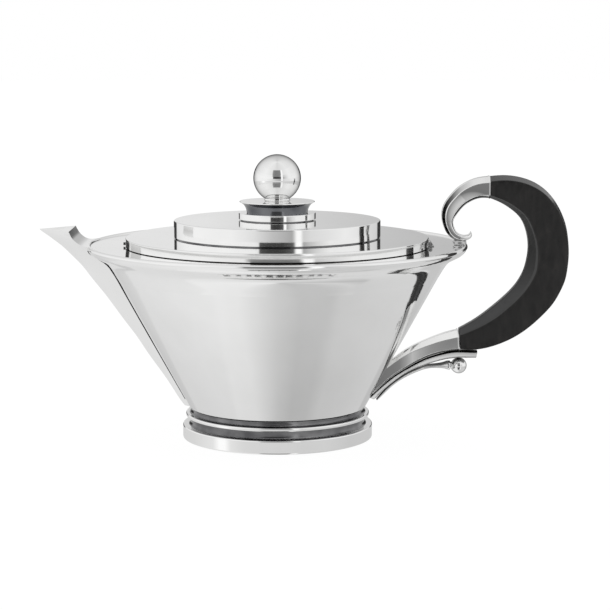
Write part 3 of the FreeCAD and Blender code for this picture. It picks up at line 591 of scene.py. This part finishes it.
bmesh.ops.recalc_face_normals(bm_, faces=bm_.faces)
bm_.to_mesh(pad.data)
bm_.free()
pad.data.polygons.foreach_set("use_smooth", [True] * len(pad.data.polygons))
# the pad takes the darker satin silver: its low tone is painted shade where the scroll meets the rim
finish_piece(pad, "pot", ["handle_saddle"], SILVER_SATIN, "silver")

# thin black tube along both sides of the spout's seam with the pot: painted shade in the crease where the spout meets
# the pot
KEEL = [(-118.4, 103.15), (-117.6, 102.3), (-112.0, 98.3), (-106.8, 94.3), (-98.75, 86.3), (-87.65, 72.3),
        (-75.8, 56.3), (-66.1, 42.3), (-56.5, 28.3), (-50.4, 19.3), (-46.9, 14.0)]
WALL = [(44.408, 14.7), (80.16, 80.0), (81.9, 82.9), (84.3, 86.6), (86.3, 88.6), (89.9, 90.6), (93.0, 92.5), (94.0, 94.2)]


def look_up(table, key, val, t):
    rows = sorted((r[key], r[val]) for r in table)
    return float(np.interp(t, [r[0] for r in rows], [r[1] for r in rows]))


for side, tag in ((-1, "near"), (1, "far")):
    path = []
    for z in np.linspace(18.0, 94.0, 60):
        kx, R_, mm_ = look_up(KEEL, 1, 0, z), look_up(WALL, 1, 0, z), 1.19
        # (x, mm_ * (x - kx)) on the circle of radius R_, the crossing nearest the keel
        A_, B_, C_ = 1 + mm_ ** 2, -2 * mm_ ** 2 * kx, mm_ ** 2 * kx ** 2 - R_ ** 2
        x = (-B_ - math.sqrt(max(B_ * B_ - 4 * A_ * C_, 0))) / (2 * A_)
        path.append((x * MM, side * mm_ * (x - kx) * MM, (z + LIFT) * MM))
    P = np.array(path)
    T = np.gradient(P, axis=0)
    T /= np.linalg.norm(T, axis=1)[:, None]
    tube_v, tube_f, m = [], [], 10
    for k in range(len(P)):
        u = np.cross(T[k], [0.0, 1.0, 0.0])
        u /= np.linalg.norm(u)
        v = np.cross(T[k], u)
        for e in range(m):
            a = 2 * math.pi * e / m
            tube_v.append(tuple(P[k] + 0.00038 * (u * math.cos(a) + v * math.sin(a))))
    for k in range(len(P) - 1):
        for e in range(m):
            q = (e + 1) % m
            tube_f.append([k * m + e, k * m + q, (k + 1) * m + q, (k + 1) * m + e])
    tube_f.append(list(range(m))[::-1])
    tube_f.append([(len(P) - 1) * m + e for e in range(m)])
    seam = make_object("spout_seam_" + tag, tube_v, tube_f)
    tidy(seam.data)
    seam.data.materials.append(SILVER_BLACK)
    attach(seam, "pot")

# ------------------------------------------------------------------ CAD nodes that stay, with better finishes
FINISH = {
    "body_shell": SILVER_BODY, "strainer": SILVER_INSIDE, "body_floor": SILVER_INSIDE, "lid_seat": SILVER_INSIDE,
    "lid_bezel": SILVER_INSIDE, "knob_stud": SILVER_INSIDE, "knob_washer": SILVER_INSIDE, "knob_nut": SILVER_INSIDE,
    "upper_tang": SILVER_INSIDE, "lower_tang": SILVER_INSIDE, "drop_ball": SILVER_BALL,
}
for n, o in NODES.items():
    if o.hide_render:
        continue
    mat = FINISH.get(n, SILVER_SATIN if "hinge" in n or "knuckle" in n or "pin" in n else SILVER)
    o.data.materials.clear()
    o.data.materials.append(mat)

# ------------------------------------------------------------------ studio: white table, white surround with a dark opening
floor = make_object("studio_floor", [(-4, -4, -0.0006), (4, -4, -0.0006), (4, 6, -0.0006), (-4, 6, -0.0006)], [(0, 1, 2, 3)])
fm = bpy.data.materials.new("studio_table")
fm.use_nodes = True
nt = fm.node_tree
nt.nodes.clear()
out = node(nt, "ShaderNodeOutputMaterial")
em = node(nt, "ShaderNodeEmission")
em.inputs[0].default_value = (1, 1, 1, 1)
em.inputs[1].default_value = 1.03
df = node(nt, "ShaderNodeBsdfDiffuse")
df.inputs[0].default_value = (0.9, 0.9, 0.9, 1)
mx = node(nt, "ShaderNodeMixShader")
mx.inputs[0].default_value = 0.08
nt.links.new(em.outputs[0], mx.inputs[1])
nt.links.new(df.outputs[0], mx.inputs[2])
nt.links.new(mx.outputs[0], out.inputs[0])
floor.data.materials.append(fm)
floor.visible_glossy = False

REFL = 0.945


def E(v):
    """Light needed for polished silver to show display value v; above 255 it is a hot light."""
    return (lin(v) if v <= 255 else (v / 255.0) ** 2.2) / REFL


def az_ramp(nt, az, table, interp="LINEAR"):
    n = node(nt, "ShaderNodeValToRGB")
    set_ramp(n, [((a + 180.0) / 360.0, E(v)) for a, v in table], interp)
    nt.links.new(az, n.inputs[0])
    return n.outputs[0]


LOW = [(-180, 215), (-141, 226), (-90, 235), (-45, 232), (0, 203), (30, 190), (60, 192), (80, 204), (86, 210), (100, 197),
       (110, 186), (125, 196), (135, 202), (180, 215)]
NEAR = [(-180, 205), (-120, 215), (-84, 226), (-74, 252), (-66, 252), (-58, 226), (-40, 215), (0, 208), (30, 206), (60, 208), (100, 196), (180, 200)]
DIP = [(-180, 190), (-140, 212), (-100, 222), (-60, 228), (-24, 214), (-18, 130), (12, 110), (18, 120), (20.5, 246), (27, 246), (29, 205), (60, 196),
       (100, 196), (140, 196), (180, 190)]
MID = [(-180, 215), (-173, 225), (-171, 60), (-150, 55), (-148, 225), (-100, 240), (-50, 238), (-25, 222), (-5, 190), (12, 172), (17, 166),
       (19.5, 205), (22, 250), (26.5, 250), (29, 205), (38, 218), (60, 226), (80, 235), (110, 225), (148, 205), (150, 55), (171, 60), (173, 190), (180, 212)]
HIGH = [(-180, 204), (-177.5, 222), (-168, 228), (-165, 60), (-150, 50), (-148, 225), (-120, 238), (-60, 242), (-24, 236), (-19.5, 228),
        (-18.2, 78), (-8, 60), (6, 58), (16, 84), (19, 100), (21.5, 258), (26.8, 258), (29.5, 165), (34, 184), (46, 215), (60, 236),
        (100, 236), (148, 205), (150, 50), (171, 60), (173, 180), (176, 182), (180, 204)]
RISE = [(-180, 204), (-120, 232), (-60, 240), (-24, 232), (-19, 135), (-8, 122), (8, 122), (17, 135), (21, 250), (27, 250), (29.5, 200),
         (60, 236), (100, 232), (140, 212), (180, 200)]
UP = [(-180, 200), (-120, 224), (-60, 234), (-20, 226), (0, 214), (20, 220), (60, 230), (120, 222), (180, 200)]
UP_NEAR = [(-180, 196), (-146, 218), (-120, 226), (-60, 238), (-25, 226), (-20, 138), (-8, 122), (14, 126), (19, 140), (21, 250), (27, 250), (30, 222),
           (60, 236), (120, 225), (146, 212), (180, 196)]
LOW_DARK = [(-180, 215), (-60, 232), (-23, 225), (-21, 95), (0, 70), (16, 90), (18, 262), (26, 262), (28, 200), (60, 200), (180, 215)]

world = bpy.data.worlds.new("studio")
bpy.context.scene.world = world
world.use_nodes = True
nt = world.node_tree
nt.nodes.clear()
L = nt.links.new
tc = node(nt, "ShaderNodeTexCoord")
sep = node(nt, "ShaderNodeSeparateXYZ")
L(tc.outputs["Generated"], sep.inputs[0])
ny = node(nt, "ShaderNodeMath", operation="MULTIPLY", i_1=-1.0)
L(sep.outputs[1], ny.inputs[0])
at = node(nt, "ShaderNodeMath", operation="ARCTAN2")
L(sep.outputs[0], at.inputs[0])
L(ny.outputs[0], at.inputs[1])
az = node(nt, "ShaderNodeMapRange")
for i, v in enumerate((-math.pi, math.pi, 0.0, 1.0)):
    az.inputs[i + 1].default_value = v
L(at.outputs[0], az.inputs[0])
el = node(nt, "ShaderNodeMath", operation="ARCSINE")
L(sep.outputs[2], el.inputs[0])
AZ, EL = az.outputs[0], el.outputs[0]


def between(e0, e1):
    n = node(nt, "ShaderNodeMapRange", interpolation_type="SMOOTHSTEP")
    for i, v in enumerate((math.radians(e0), math.radians(e1), 0.0, 1.0)):
        n.inputs[i + 1].default_value = v
    L(EL, n.inputs[0])
    return n.outputs[0]


def mix(f, a, b_):
    n = node(nt, "ShaderNodeMix", data_type="RGBA")
    L(f, n.inputs[0])
    L(a, n.inputs[6])
    L(b_, n.inputs[7])
    return n.outputs[2]


low, dip, near, mid, high, rise, up_near, up, low_dark = (az_ramp(nt, AZ, t) for t in (LOW, DIP, NEAR, MID, HIGH, RISE, UP_NEAR, UP, LOW_DARK))
c = mix(between(-59, -56), low, low_dark)
c = mix(between(-29, -26), c, dip)
c = mix(between(-18, -15), c, near)
c = mix(between(-10.5, -9.0), c, mid)
c = mix(between(-1.5, 1.5), c, high)
c = mix(between(9, 10.5), c, rise)
c = mix(between(16, 20), c, up_near)
c = mix(between(40, 44), c, up)
bg_env = node(nt, "ShaderNodeBackground")
L(c, bg_env.inputs[0])
bg_env.inputs[1].default_value = 1.0
bg_white = node(nt, "ShaderNodeBackground")
bg_white.inputs[0].default_value = (1, 1, 1, 1)
bg_white.inputs[1].default_value = 1.0
lp = node(nt, "ShaderNodeLightPath")
ms = node(nt, "ShaderNodeMixShader")
L(lp.outputs["Is Glossy Ray"], ms.inputs[0])
L(bg_white.outputs[0], ms.inputs[1])
L(bg_env.outputs[0], ms.inputs[2])
wo = node(nt, "ShaderNodeOutputWorld")
L(ms.outputs[0], wo.inputs[0])

# ------------------------------------------------------------------ camera
cam = bpy.data.cameras.new("camera")
cam.sensor_width = 36.0
cam.lens = 116.9
co = bpy.data.objects.new("camera", cam)
bpy.context.scene.collection.objects.link(co)
co.location = (0.0138, -0.980, 0.205 + LIFT * MM)
co.rotation_euler = (math.radians(90 - 8.137), 0, 0)
bpy.context.scene.camera = co
bpy.context.scene.view_settings.view_transform = "Standard"
bpy.context.scene.view_settings.look = "None"

bpy.context.view_layer.update()
